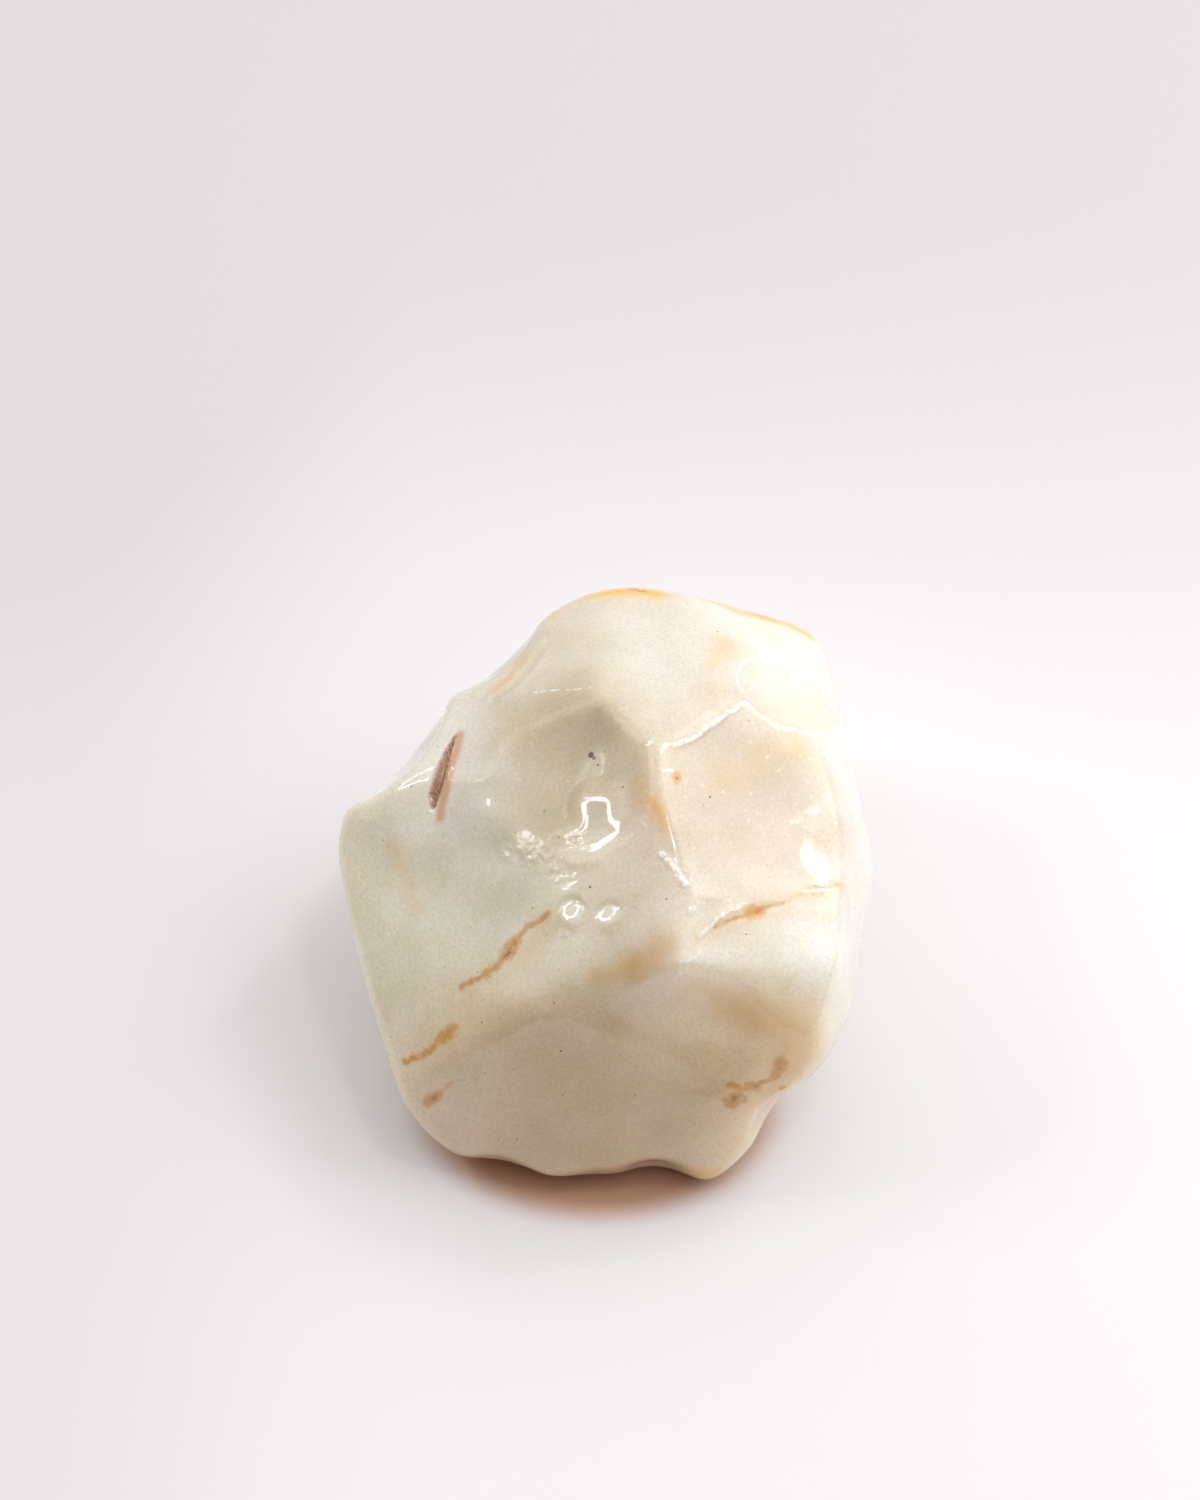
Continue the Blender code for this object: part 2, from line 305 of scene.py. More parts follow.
# Soft stains: how golden each is, from brown at 0 to yellow at 1, its half width, its strength, and
# its pixels.
STAINS = {
    "ridge_brown": (0.15, 1.3, 0.55, [(665, 943), (650, 957), (640, 962)]),
    "ridge_brown_left": (0.20, 0.8, 0.50, [(628, 970), (615, 973), (597, 976)]),
    "front_yellow": (0.50, 2.2, 0.36, [(700, 990), (746, 1008), (775, 1015)]),
    "front_yellow_core": (0.30, 1.4, 0.35, [(738, 1016), (750, 1024)]),
    "front_corner": (0.30, 2.4, 0.30, [(800, 1050), (790, 1085), (760, 1105)]),
    "crest_tan": (0.35, 1.0, 0.35, [(637, 785), (645, 800), (655, 812)]),
    "crest_tan_edge": (0.35, 0.35, 0.55, [(650, 800), (660, 812), (664, 828)]),
    "golden": (1.0, 1.2, 0.22, [(716, 782), (742, 773), (762, 756), (795, 745)]),
    "golden_right": (1.0, 0.9, 0.19, [(800, 746), (818, 760), (823, 780)]),
    "vein_halo": (0.30, 1.2, 0.30, [(545, 925), (530, 945), (520, 955)]),
    "low_halo": (0.40, 1.2, 0.20, [(470, 998), (450, 1032), (420, 1050)]),
    "left_streak": (0.60, 0.9, 0.22, [(393, 845), (402, 870), (415, 905)]),
    "rim_left": (0.85, 0.6, 0.65, [(536, 628), (550, 616), (568, 602), (584, 595)]),
    "rim": (0.85, 0.8, 1.0, [(592, 594), (606, 592), (625, 591), (645, 592), (656, 594)]),
    "rim_right": (0.85, 0.6, 0.80, [(704, 598), (722, 604), (739, 611), (766, 617)]),
    "rim_far": (0.75, 0.6, 0.80, [(762, 616), (774, 620), (786, 623), (800, 630), (810, 636)]),
    "chip_yellow": (0.85, 0.8, 0.35, [(714, 664), (720, 650), (727, 641)]),
    "chip_pink": (0.30, 1.0, 0.15, [(715, 690), (712, 705)]),
    "tip": (0.95, 0.9, 0.65, [(700, 1173), (706, 1176), (713, 1175)]),
    "crack_glow": (0.60, 1.0, 0.25, [(700, 935), (740, 918), (790, 900), (840, 888)]),
    "rib_green": (0.95, 0.5, 0.30, [(497, 690), (512, 676), (524, 660)]),
}

# The dark line on the rim of the top.
RIM_LINES = {
    "rim_dark": (0.05, 0.14, 0.8, [(630, 590), (640, 590), (648, 592)]),
}

# The colour of each part of the stone, as it looks on a screen, how far it reaches and its pixels. Each is
# partly body colour and partly painted light and shade, paler on lit parts and darker on shaded ones.
TONES_WITH_PAINTED_SHADING = {
    "left_side": ((240, 237, 219), 5.0, [(375, 850), (390, 950), (420, 1040), (480, 900), (520, 930)]),
    "left_low": ((235, 221, 196), 4.0, [(415, 1110), (450, 1130)]),
    "upper_left": ((239, 236, 229), 3.0, [(390, 800), (430, 730), (455, 702)]),
    "upper_left_low": ((222, 216, 204), 3.5, [(485, 790), (460, 840)]),
    "left_high": ((206, 197, 175), 2.6, [(472, 872), (505, 905)]),
    "dish": ((216, 201, 171), 4.0, [(560, 740), (600, 775), (560, 800)]),
    "dish_top": ((186, 168, 132), 2.5, [(565, 715), (600, 730)]),
    "crest_left": ((243, 233, 212), 1.8, [(640, 768), (622, 742)]),
    "crest_right": ((236, 225, 206), 2.2, [(692, 758)]),
    "dish_low": ((190, 173, 140), 2.2, [(583, 802), (545, 825)]),
    "centre": ((235, 225, 205), 4.0, [(600, 880), (610, 940)]),
    "front": ((217, 193, 158), 5.5, [(470, 1080), (540, 1060), (620, 1075), (700, 1080)]),
    "front_low": ((216, 191, 159), 4.0, [(520, 1130), (600, 1140), (660, 1130)]),
    "front_right": ((254, 237, 198), 3.4, [(735, 1030), (775, 1040)]),
    "lip_right": ((253, 238, 211), 3.0, [(735, 1140), (755, 1110)]),
    "right": ((218, 201, 180), 5.0, [(700, 800), (740, 850), (790, 830), (740, 770)]),
    "right_low": ((254, 250, 241), 4.5, [(720, 950), (760, 950), (800, 950)]),
    "right_edge": ((252, 250, 245), 3.5, [(850, 800), (860, 880), (845, 960)]),
    "top": ((228, 220, 207), 5.0, [(640, 640), (680, 660), (650, 710)]),
    "top_left": ((214, 203, 181), 4.0, [(560, 650), (530, 670)]),
    "chip": ((252, 247, 235), 4.0, [(780, 690), (790, 650)]),
}

# Where the surface is rough under its gloss: a half width, a strength and the pixels.
ROUGH_PATCHES = {
    "under_dish": (1.2, 1.0, [(508, 848), (535, 858), (562, 868)]),
    "under_bell": (0.7, 1.0, [(576, 842), (582, 850)]),
    "faint_rings": (0.8, 0.7, [(560, 940), (590, 944)]),
    "cluster": (0.8, 0.9, [(664, 858), (675, 870), (688, 880)]),
    "chip": (2.6, 0.5, [(745, 650), (765, 690), (800, 700)]),
    "ridge": (0.5, 0.5, [(651, 746), (676, 746), (694, 738), (732, 709), (745, 704)]),
    "left": (1.1, 0.5, [(375, 822), (400, 830)]),
    "left_dish": (0.9, 0.6, [(480, 745), (500, 750)]),
    "crest": (0.8, 0.6, [(640, 805), (646, 820)]),
    "pit_foot": (0.7, 0.6, [(430, 835), (445, 838)]),
}

# Where pale flecks are scattered, in the same terms.
FLECKED = {
    "right": (6.0, 0.7, [(700, 780), (760, 800), (740, 850), (800, 780)]),
    "golden": (1.6, 1.5, [(716, 780), (755, 768), (770, 747), (797, 741), (806, 755)]),
    "chip": (4.0, 0.7, [(770, 690)]),
    "dish": (5.0, 0.4, [(540, 760), (590, 790)]),
    "right_low": (5.0, 0.5, [(740, 950)]),
}

# Where the ridges are bruised white, partly real bruising and partly painted glints, in the same terms.
BRUISED_AND_PAINTED_GLINTS = {
    "top_ridge": (0.20, 1.0, [(648, 745), (676, 745), (694, 738), (732, 709), (745, 703)]),
    "top_ridge_right": (0.20, 0.9, [(745, 703), (759, 716), (778, 728), (808, 732), (822, 735)]),
    "chip_ridge": (0.16, 0.8, [(744, 694), (736, 676), (745, 661), (768, 655), (790, 662)]),
    "chip_ridge_low": (0.14, 0.7, [(759, 682), (775, 676), (793, 692)]),
    "cluster": (0.24, 0.9, [(662, 854), (675, 867), (682, 884), (691, 880)]),
    "crack_edge": (0.16, 1.0, [(700, 936), (717, 919), (729, 910), (745, 905)]),
    "crack_edge_right": (0.14, 0.9, [(806, 892), (818, 890), (831, 890)]),
    "peak_edge": (0.14, 0.8, [(679, 962), (693, 959), (699, 952)]),
    # From here on the marks are painted glints only.
    "dish_rim": (0.10, 0.7, [(535, 692), (560, 690), (590, 689)]),
    "crest_dash": (0.14, 0.9, [(664, 771), (674, 771)]),
    "ring_left": (0.09, 0.8, [(574, 905), (577, 911), (574, 918), (568, 919), (564, 915)]),
    "ring_right": (0.09, 0.8, [(613, 910), (614, 915), (609, 920), (602, 920)]),
    "arc_left": (0.08, 0.8, [(562, 930), (559, 936), (562, 942), (560, 948)]),
    "arc_right": (0.08, 0.8, [(580, 940), (580, 945), (575, 947)]),
    "dashes": (0.07, 0.6, [(588, 943), (594, 945), (601, 944)]),
    "dash_left": (0.08, 0.8, [(543, 895), (548, 900)]),
}

# Where the gloss is worn dull, in the same terms.
DULL_PATCHES = {
    "dish_left": (2.0, 1.0, [(465, 778), (490, 758), (510, 742)]),
    "dish_middle": (1.4, 1.0, [(577, 775), (592, 758), (608, 765)]),
    "dish_side": (0.8, 1.0, [(612, 712), (625, 722), (645, 748), (650, 775), (648, 800), (643, 824)]),
    "front_ridge": (1.2, 1.0, [(490, 990), (512, 988)]),
    "under_bell": (1.0, 1.0, [(598, 870), (622, 862), (645, 848)]),
    "dish_edge": (0.8, 1.0, [(505, 742), (535, 722), (570, 708), (602, 702)]),
    "left": (1.2, 0.9, [(415, 836), (430, 838)]),
    "right": (1.9, 1.0, [(808, 824), (826, 846)]),
    "left_rim": (0.7, 1.0, [(339, 830), (346, 900), (357, 970), (378, 1040), (402, 1100), (425, 1140)]),
}


def colour(red, green, blue):
    """A colour given as it looks on a screen, from 0 to 255, as the linear values that a shader takes."""
    linear = [
        c / 255 / 12.92 if c / 255 <= 0.04045 else ((c / 255 + 0.055) / 1.055) ** 2.4
        for c in (red, green, blue)
    ]
    return (*linear, 1.0)


MILK = colour(240, 235, 224)
CLOUD_TINT = colour(247, 246, 238)
FLECK_PALE = colour(255, 247, 214)
BRUISE_AND_GLINT_WHITE = colour(255, 254, 249)
STAIN_BROWN = colour(208, 170, 112)
STAIN_GOLD = colour(240, 190, 84)
VEIN_BROWN = colour(142, 82, 34)
VEIN_ORANGE = colour(216, 128, 40)
VEIN_TAN = colour(194, 150, 92)
VEIN_OCHRE = colour(220, 168, 84)
VEIN_HALO = colour(230, 200, 148)
SPECK_DARK = colour(96, 58, 40)
PIT_DARK = colour(122, 76, 46)
PIT_PINK = colour(208, 152, 100)

# The share of plain milk that every part of the stone keeps.
TONE_FLOOR = 0.05


def unit(turn, rise):
    """The direction at a compass turn from +X towards +Y and a rise above the horizon, in degrees."""
    turn, rise = math.radians(turn), math.radians(rise)
    level = math.cos(rise)
    return np.array([level * math.cos(turn), level * math.sin(turn), math.sin(rise)])


def camera_axes():
    """The photograph's right, its up and the way that the camera looks."""
    rise = math.radians(CAMERA_RISE)
    right = np.array([1.0, 0.0, 0.0])
    up = np.array([0.0, math.sin(rise), math.cos(rise)])
    forward = np.array([0.0, math.cos(rise), -math.sin(rise)])
    return right, up, forward


def wandered(directions):
    """The directions nudged about, so that an edge found along them isn't straight."""
    nudges = np.array([noise.noise_vector(Vector(d) * WANDERS_PER_RADIUS) for d in directions.tolist()])
    bent = directions + nudges * WANDER
    return bent / np.linalg.norm(bent, axis=1)[:, None]


def hull_planes():
    """The hull's faces, as outward normals and their distances from the heart."""
    bm = bmesh.new()
    for corner in CORNERS.values():
        bm.verts.new(corner)
    made = bmesh.ops.convex_hull(bm, input=bm.verts, use_existing_faces=False)
    inside = [g for g in made["geom_interior"] if isinstance(g, bmesh.types.BMVert)]
    bmesh.ops.delete(bm, geom=inside, context="VERTS")
    bm.normal_update()
    normals = np.array([f.normal for f in bm.faces])
    points = np.array([f.verts[0].co for f in bm.faces])
    bm.free()
    distances = ((points - HEART) * normals).sum(axis=1)
    outward = np.sign(distances)
    return normals * outward[:, None], distances * outward


def hull_radii(directions):
    """How far the hull reaches from the heart along each direction."""
    normals, distances = hull_planes()
    radii = np.full(len(directions), np.inf)
    for normal, distance in zip(normals, distances):
        facing = directions @ normal
        reach = np.where(facing > EDGE_ON, distance / np.maximum(facing, EDGE_ON), np.inf)
        radii = np.minimum(radii, reach)
    return radii


def scooped(directions, radii):
    """The radii cut back to where each fracture's ball begins, with the rim of each hollow rounded."""
    for centre, facing, ball, depth, rounding in FRACTURES.values():
        middle = np.array(centre) + unit(*facing) * (ball - depth) - HEART
        along = directions @ middle
        inside = along**2 - middle @ middle + ball**2
        near = along - np.sqrt(np.maximum(inside, 0.0))
        hit = (inside > 0) & (along > 0)
        near = np.where(hit, near, radii + rounding)
        share = np.clip(0.5 + (near - radii) / (2.0 * rounding), 0.0, 1.0)
        radii = near + (radii - near) * share - rounding * share * (1.0 - share)
    return radii


def neighbour_mean(points, edges, count):
    """For each point, the mean of the points that it shares an edge with."""
    total = np.empty_like(points)
    for axis in range(3):
        here = points[:, axis]
        forth = np.bincount(edges[:, 0], weights=here[edges[:, 1]], minlength=len(points))
        back = np.bincount(edges[:, 1], weights=here[edges[:, 0]], minlength=len(points))
        total[:, axis] = forth + back
    return total / count


def worn(points, edges):
    """The points after each has moved towards the mean of its neighbours, which rounds the edges."""
    count = np.bincount(edges.ravel(), minlength=len(points))[:, None]
    for _ in range(WEAR_PASSES):
        points = points + (neighbour_mean(points, edges, count) - points) * WEAR_STRENGTH
    return points


def noise_heights(points, wavelength, seed):
    """Smooth noise at each point, from about -1 to 1."""
    return np.array([noise.noise(Vector(p) / wavelength + seed) for p in points.tolist()])


def lumpy(points, directions):
    """The points with the broad low lumps of a tumbled stone, which fade out towards the foot."""
    fade = np.clip(points[:, 2] / FOOT_CLEAR, 0.0, 1.0)
    lumps = noise_heights(points, LUMP_WAVELENGTH, LUMP_SEED) * LUMP_HEIGHT
    ripples = noise_heights(points, RIPPLE_WAVELENGTH, RIPPLE_SEED) * RIPPLE_HEIGHT
    return points + directions * ((lumps + ripples) * fade)[:, None]


def centred(points):
    """The points with the foot flat at Z 0 and the middle of their box over the origin."""
    points = points.copy()
    points[:, 2] = np.maximum(points[:, 2], 0.0)
    points[:, :2] -= (points[:, :2].min(axis=0) + points[:, :2].max(axis=0)) / 2
    return points


def point_normals(points, triangles):
    """The outward normal at each point."""
    first, second, third = (points[triangles[:, i]] for i in range(3))
    flat = np.cross(second - first, third - first)
    normals = np.zeros_like(points)
    for corner in range(3):
        for axis in range(3):
            normals[:, axis] += np.bincount(
                triangles[:, corner], weights=flat[:, axis], minlength=len(points)
            )
    return normals / np.linalg.norm(normals, axis=1)[:, None]


# The least share or slope that something is divided by.
EDGE_ON = 1e-6

# How far before and behind the heart a line of sight that misses the stone is searched, in how many steps.
SIGHT_REACH = 30.0
SIGHT_STEPS = 61


def on_stone(tree, pixel):
    """The point of the stone that a pixel shows, or the nearest one where the pixel just misses it."""
    right, up, forward = camera_axes()
    across = (pixel[0] - PHOTO_WIDTH / 2) / FOCAL_PIXELS
    down = (pixel[1] - PHOTO_HEIGHT / 2) / FOCAL_PIXELS
    sight = forward + right * across - up * down
    hit = tree.ray_cast(Vector(CAMERA_PLACE), Vector(sight).normalized())[0]
    if hit is None:
        middle = (HEART - CAMERA_PLACE) @ forward
        depths = np.linspace(middle - SIGHT_REACH, middle + SIGHT_REACH, SIGHT_STEPS)
        near = [tree.find_nearest(Vector(CAMERA_PLACE + sight * depth)) for depth in depths]
        hit = min(near, key=lambda found: found[3])[0]
    return np.array(hit)


def distance_to(points, route):
    """How far each point is from the line through the route's points."""
    if len(route) == 1:
        return np.linalg.norm(points - route[0], axis=1)
    nearest = np.full(len(points), np.inf)
    for start, end in zip(route, route[1:]):
        line = end - start
        along = np.clip((points - start) @ line / (line @ line), 0.0, 1.0)
        away = np.linalg.norm(points - start - along[:, None] * line, axis=1)
        nearest = np.minimum(nearest, away)
    return nearest


def tapered_distance(points, route, half_widths):
    """How far each point is from the line, as a multiple of the line's half width there."""
    nearest = np.full(len(points), np.inf)
    for index, (start, end) in enumerate(zip(route, route[1:])):
        line = end - start
        along = np.clip((points - start) @ line / (line @ line), 0.0, 1.0)
        away = np.linalg.norm(points - start - along[:, None] * line, axis=1)
        half_width = half_widths[index] + (half_widths[index + 1] - half_widths[index]) * along
        nearest = np.minimum(nearest, away / half_width)
    return nearest


def hump(away, half_width):
    """1 on the line, falling smoothly to 0 at twice the half width."""
    return np.exp(-((away / half_width) ** 2))


def strayed(points):
    """The points nudged about, so that what is drawn at a distance from them isn't straight."""
    nudges = [noise.noise_vector(Vector(p) / STRAY_WAVELENGTH) for p in points.tolist()]
    return points + np.array(nudges) * STRAY


def swell_plane(tree, pixels):
    """The middle of an outline on the stone, and the way that its swelling faces, with its two axes."""
    right, up, forward = camera_axes()
    across, upward = (math.tan(math.radians(angle)) for angle in SWELL_LEAN)
    facing = right * across + up * upward - forward
    facing /= np.linalg.norm(facing)
    level = right - facing * (right @ facing)
    level /= np.linalg.norm(level)
    middle = np.mean([on_stone(tree, pixel) for pixel in pixels], axis=0)
    return middle, facing, level, np.cross(facing, level)


def rounded(outline):
    """The outline with its corners cut, twice, so that it curves."""
    for _ in range(2):
        after = np.roll(outline, -1, axis=0)
        cut = np.stack([outline * 0.75 + after * 0.25, outline * 0.25 + after * 0.75], axis=1)
        outline = cut.reshape(-1, 2)
    return outline


def outline_depth(x, y, outline):
    """How far each point of a plane is inside an outline, negative outside it."""
    inside = np.zeros(len(x), bool)
    nearest = np.full(len(x), np.inf)
    for start, end in zip(outline, np.roll(outline, -1, axis=0)):
        line = end - start
        along = np.clip(((x - start[0]) * line[0] + (y - start[1]) * line[1]) / (line @ line), 0.0, 1.0)
        away = np.hypot(x - start[0] - along * line[0], y - start[1] - along * line[1])
        nearest = np.minimum(nearest, away)
        crossing = start[0] + (y - start[1]) / (line[1] or EDGE_ON) * line[0]
        inside ^= ((start[1] > y) != (end[1] > y)) & (x < crossing)
    return np.where(inside, nearest, -nearest)


def swollen(points, tree):
    """The points with each swelling bent to its own curve, and how dull the band around each is."""
    dull = np.zeros(len(points))
    for side, half_width, lift, reach, pixels in SWELLS.values():
        middle, facing, level, steep = swell_plane(tree, pixels)
        spots = np.array([on_stone(tree, pixel) for pixel in pixels]) - middle
        outline = rounded(np.stack([spots @ level, spots @ steep], axis=1))
        x, y, height = (points - middle) @ level, (points - middle) @ steep, (points - middle) @ facing
        depth = outline_depth(x, y, outline)
        curve = side * SWELL_SLOPE * (depth - depth**2 / (2.0 * half_width)) + lift
        near = np.abs(height) < reach
        fade = np.clip(1.0 + (depth + SWELL_MARGIN) / reach, 0.0, 1.0) * near
        fade = fade**2 * (3.0 - 2.0 * fade)
        points = points + facing * ((curve - height) * fade)[:, None]
        begin = np.clip((-depth - GLOSS_MARGIN) / GLOSS_FADE, 0.0, 1.0)
        finish = np.clip((reach + 2.0 * GLOSS_FADE + depth) / GLOSS_FADE, 0.0, 1.0)
        dull = np.maximum(dull, begin * finish * near)
    return points, dull


def carved(points, normals, tree):
    """The points with the ridges raised, and the grooves, the pit and the rough patches cut in."""
    height = np.zeros(len(points))
    stray = strayed(points)
    for rise, half_width, pixels in RIDGES.values():
        route = [on_stone(tree, pixel) for pixel in pixels]
        height += rise * hump(distance_to(stray, route), half_width)
    for depth, half_width, pixels in GROOVES.values():
        route = [on_stone(tree, pixel) for pixel in pixels]
        height -= depth * hump(distance_to(stray, route), half_width)
    route = [on_stone(tree, pixel) for pixel in PIT_LINE]
    inside = np.clip(1.0 - tapered_distance(points, route, PIT_HALF_WIDTHS) ** 2, 0.0, 1.0)
    height -= PIT_DEPTH * inside
    chips = noise_heights(points, CHIP_WAVELENGTH, CHIP_SEED)
    fine_chips = noise_heights(points, CHIP_WAVELENGTH / 2.0, CHIP_SEED)
    height += (chips + fine_chips / 2.0) * CHIP_HEIGHT * patch_field(points, tree, ROUGH_PATCHES)
    return points + normals * height[:, None]


# How far beyond its half width the value of a vein or speck still falls, as a multiple of it.
FIELD_REACH = 4.0


def vein_fields(points, tree):
    """For each point the strength of the nearest vein, 1 in its middle, and how orange that vein is."""
    strength = np.zeros(len(points))
    orange = np.zeros(len(points))
    for tint, half_width, weight, pixels in list(VEINS.values()) + list(RIM_LINES.values()):
        route = [on_stone(tree, pixel) for pixel in pixels]
        away = distance_to(points, route)
        value = weight * np.clip(1.0 - away / (half_width * FIELD_REACH), 0.0, 1.0)
        orange = np.where(value > strength, tint, orange)
        strength = np.maximum(strength, value)
    return strength, orange


def speck_field(points, tree):
    """For each point the strength of the nearest speck, 1 in its middle."""
    strength = np.zeros(len(points))
    for half_width, pixel in SPECKS.values():
        away = distance_to(points, [on_stone(tree, pixel)])
        value = np.clip(1.0 - away / (half_width * FIELD_REACH), 0.0, 1.0)
        strength = np.maximum(strength, value)
    return strength


def stain_fields(points, tree):
    """For each point how stained it is, and how golden the stain is."""
    total = np.zeros(len(points))
    golden = np.zeros(len(points))
    for tint, half_width, weight, pixels in STAINS.values():
        route = [on_stone(tree, pixel) for pixel in pixels]
        value = weight * hump(distance_to(points, route), half_width)
        golden += tint * value
        total += value
    return np.minimum(total, 1.0), golden / np.maximum(total, EDGE_ON)


def tone_with_painted_shading_field(points, tree):
    """For each point the colour there, body colour with painted light and shade, blended smoothly from one part
    of the stone to the next.
    """
    total = np.full(len(points), TONE_FLOOR)
    tones_with_shading = np.outer(total, MILK[:3])
    for shade, reach, pixels in TONES_WITH_PAINTED_SHADING.values():
        spots = [distance_to(points, [on_stone(tree, pixel)]) for pixel in pixels]
        share = hump(np.min(spots, axis=0), reach)
        total += share
        tones_with_shading += np.outer(share, colour(*shade)[:3])
    return tones_with_shading / total[:, None]


def patch_field(points, tree, patches):
    """For each point how strong the nearest of the patches is there."""
    strength = np.zeros(len(points))
    for half_width, weight, pixels in patches.values():
        route = [on_stone(tree, pixel) for pixel in pixels]
        strength = np.maximum(strength, weight * hump(distance_to(points, route), half_width))
    return strength


def pit_field(points, tree):
    """For each point how far inside the pit it is, 1 along its middle."""
    route = [on_stone(tree, pixel) for pixel in PIT_LINE]
    return np.clip(1.0 - tapered_distance(points, route, PIT_HALF_WIDTHS) / 2.0, 0.0, 1.0)


def bank_field(points, tree):
    """For each point how near the pit's pink bank it is, 1 along its middle."""
    route = [on_stone(tree, pixel) for pixel in PIT_BANK]
    return hump(distance_to(points, route), PIT_BANK_HALF_WIDTH)


def fine_sphere():
    """A unit sphere of triangles, finest where it faces the camera."""
    bm = bmesh.new()
    bmesh.ops.create_icosphere(bm, subdivisions=SPHERE_SUBDIVISIONS, radius=1.0)
    bmesh.ops.subdivide_edges(bm, edges=bm.edges[:], cuts=SPHERE_CUTS, use_grid_fill=True)
    bmesh.ops.triangulate(bm, faces=bm.faces[:])
    bm.verts.ensure_lookup_table()
    directions = np.array([v.co for v in bm.verts])
    directions /= np.linalg.norm(directions, axis=1)[:, None]
    directions -= camera_axes()[2] * GATHER
    directions /= np.linalg.norm(directions, axis=1)[:, None]
    return bm, directions


def write_field(mesh, name, values):
    """A number for each point of the mesh, which its material reads by name."""
    attribute = mesh.attributes.new(name, "FLOAT", "POINT")
    attribute.data.foreach_set("value", values.astype(np.float32))


def write_tones(mesh, name, tones_with_shading):
    """Three numbers for each point of the mesh, which its material reads as a colour."""
    attribute = mesh.attributes.new(name, "FLOAT_VECTOR", "POINT")
    attribute.data.foreach_set("vector", tones_with_shading.astype(np.float32).ravel())


def build_stone():
    """The stone, in metres, with the fields that its material reads."""
    noise.seed_set(WANDER_SEED)
    bm, directions = fine_sphere()
    edges = np.array([[v.index for v in e.verts] for e in bm.edges])
    triangles = np.array([[v.index for v in f.verts] for f in bm.faces])

    bent = wandered(directions)
    radii = scooped(bent, hull_radii(bent))
    points = worn(HEART + directions * radii[:, None], edges)
    points = centred(lumpy(points, directions))
    tree = BVHTree.FromPolygons(points.tolist(), triangles.tolist())
    normals = point_normals(points, triangles)
    bent, dull = swollen(points, tree)
    shaped = centred(carved(bent, normals, tree))
    for vertex, point in zip(bm.verts, shaped * MM):
        vertex.co = point

    mesh = bpy.data.meshes.new("opal_stone")
    bm.to_mesh(mesh)
    bm.free()
    mesh.shade_smooth()
    vein, vein_orange = vein_fields(strayed(points), tree)
    stain, stain_golden = stain_fields(points, tree)
    write_field(mesh, "vein", vein)
    write_field(mesh, "vein_orange", vein_orange)
    write_field(mesh, "stain", stain)
    write_field(mesh, "stain_golden", stain_golden)
    write_field(mesh, "speck", speck_field(points, tree))
    write_field(mesh, "rough", patch_field(points, tree, ROUGH_PATCHES))
    write_field(mesh, "pit", pit_field(points, tree))
    write_field(mesh, "bank", bank_field(points, tree))
    write_field(mesh, "fleck", patch_field(points, tree, FLECKED))
    write_field(mesh, "bruise_and_painted_glint", patch_field(strayed(points), tree, BRUISED_AND_PAINTED_GLINTS))
    write_field(mesh, "dull", np.maximum(dull, patch_field(points, tree, DULL_PATCHES)))
    write_tones(mesh, "tone_with_painted_shading", tone_with_painted_shading_field(points, tree))
    stone = bpy.data.objects.new("opal_stone", mesh)
    bpy.context.scene.collection.objects.link(stone)
    return stone


class Nodes:
    """Short calls for adding nodes to a material and joining them."""

    def __init__(self, material):
        material.use_nodes = True
        self.tree = material.node_tree
        self.shader = self.tree.nodes["Principled BSDF"]

    def add(self, kind, **settings):
        node = self.tree.nodes.new(kind)
        for name, value in settings.items():
            setattr(node, name, value)
        return node

    def join(self, start, end):
        self.tree.links.new(start, end)

    def set_or_join(self, socket, value):
        if isinstance(value, bpy.types.NodeSocket):
            self.join(value, socket)
        else:
            socket.default_value = value

    def field(self, name):
        return self.add("ShaderNodeAttribute", attribute_name=name).outputs["Fac"]

    def place(self):
        return self.add("ShaderNodeTexCoord").outputs["Object"]

    def noise(self, wavelength, detail=2.0, rough=0.5, seed=(0.0, 0.0, 0.0)):
        """Noise from 0 to 1 over the object, with a wavelength in millimetres."""
        shift = self.add("ShaderNodeVectorMath", operation="ADD")
        self.join(self.place(), shift.inputs[0])
        shift.inputs[1].default_value = [s * MM for s in seed]
        texture = self.add("ShaderNodeTexNoise")
        self.join(shift.outputs[0], texture.inputs["Vector"])
        texture.inputs["Scale"].default_value = 1.0 / (wavelength * MM)
        texture.inputs["Detail"].default_value = detail
        texture.inputs["Roughness"].default_value = rough
        return texture.outputs["Fac"]

    def cells(self, wavelength, seed):
        """The distance to the nearest of scattered points, and that point's random colour."""
        shift = self.add("ShaderNodeVectorMath", operation="ADD")
        self.join(self.place(), shift.inputs[0])
        shift.inputs[1].default_value = [s * MM for s in seed]
        texture = self.add("ShaderNodeTexVoronoi")
        self.join(shift.outputs[0], texture.inputs["Vector"])
        texture.inputs["Scale"].default_value = 1.0 / (wavelength * MM)
        return texture.outputs["Distance"], texture.outputs["Color"]

    def math(self, operation, first, second=0.0, third=0.0, clamp=False):
        node = self.add("ShaderNodeMath", operation=operation, use_clamp=clamp)
        for socket, value in zip(node.inputs, (first, second, third)):
            self.set_or_join(socket, value)
        return node.outputs[0]

    def span(self, value, low, high, start=0.0, end=1.0):
        """The value from low to high taken smoothly to a value from start to end."""
        node = self.add("ShaderNodeMapRange", interpolation_type="SMOOTHSTEP")
        for name, given in (
            ("Value", value),
            ("From Min", low),
            ("From Max", high),
            ("To Min", start),
            ("To Max", end),
        ):
            self.set_or_join(node.inputs[name], given)
        return node.outputs["Result"]

    def mix(self, share, first, second, how="MIX"):
        node = self.add("ShaderNodeMix", data_type="RGBA", blend_type=how)
        self.set_or_join(node.inputs[0], share)
        self.set_or_join(node.inputs[6], first)
        self.set_or_join(node.inputs[7], second)
        return node.outputs[2]


SCATTER_RADIUS = (1.0, 0.75, 0.5)
SCATTER_SCALE = 3.0 * MM


